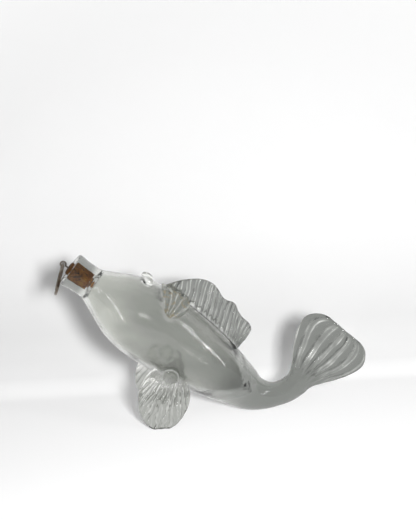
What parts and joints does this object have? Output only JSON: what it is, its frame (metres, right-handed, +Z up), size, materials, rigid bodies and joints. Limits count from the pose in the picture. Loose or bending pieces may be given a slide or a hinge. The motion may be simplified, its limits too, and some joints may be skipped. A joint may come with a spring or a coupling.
{
  "type": "fish decanter",
  "caption": "Free-standing clear glass decanter in the form of a fish, corked at the mouth, with a wire pull ring on the cork and ribbed fins that serve as feet.",
  "frame": {"origin": "on the surface that it stands on, under the middle of the whole decanter's length", "axes": "+Z up, +X towards the tail, so the mouth faces -X and the fish's left side faces -Y"},
  "size_m": [0.3386, 0.0844, 0.1845],
  "materials": {
    "glass": "clear, fire-polished, faintly grey-green where thick",
    "cork": "raw bark cork, darkened by use",
    "wire": "dull tarnished wire"
  },
  "bodies": {
    "glass": {"body_shell": "glass", "neck": "glass", "tail_fin": "glass", "dorsal_fin": "glass", "left_pectoral_fin": "glass", "right_pectoral_fin": "glass", "left_fin_pad": "glass", "right_fin_pad": "glass", "left_eye": "glass", "right_eye": "glass"},
    "stopper": {"cork": "cork", "eye_screw": "wire"},
    "ring": {"pull_ring": "wire"}
  },
  "joints": [
    {"name": "cork_pull", "type": "slide", "parent": "glass", "child": "stopper", "axis": [-0.7826, 0, 0.6225], "range_m": [0, 0.045]},
    {"name": "ring_swing", "type": "hinge", "parent": "stopper", "child": "ring", "pos_m": [-0.15819, 0, 0.1764], "axis": [0, 1, 0], "range_deg": [-17.9, 240.7]}
  ]
}
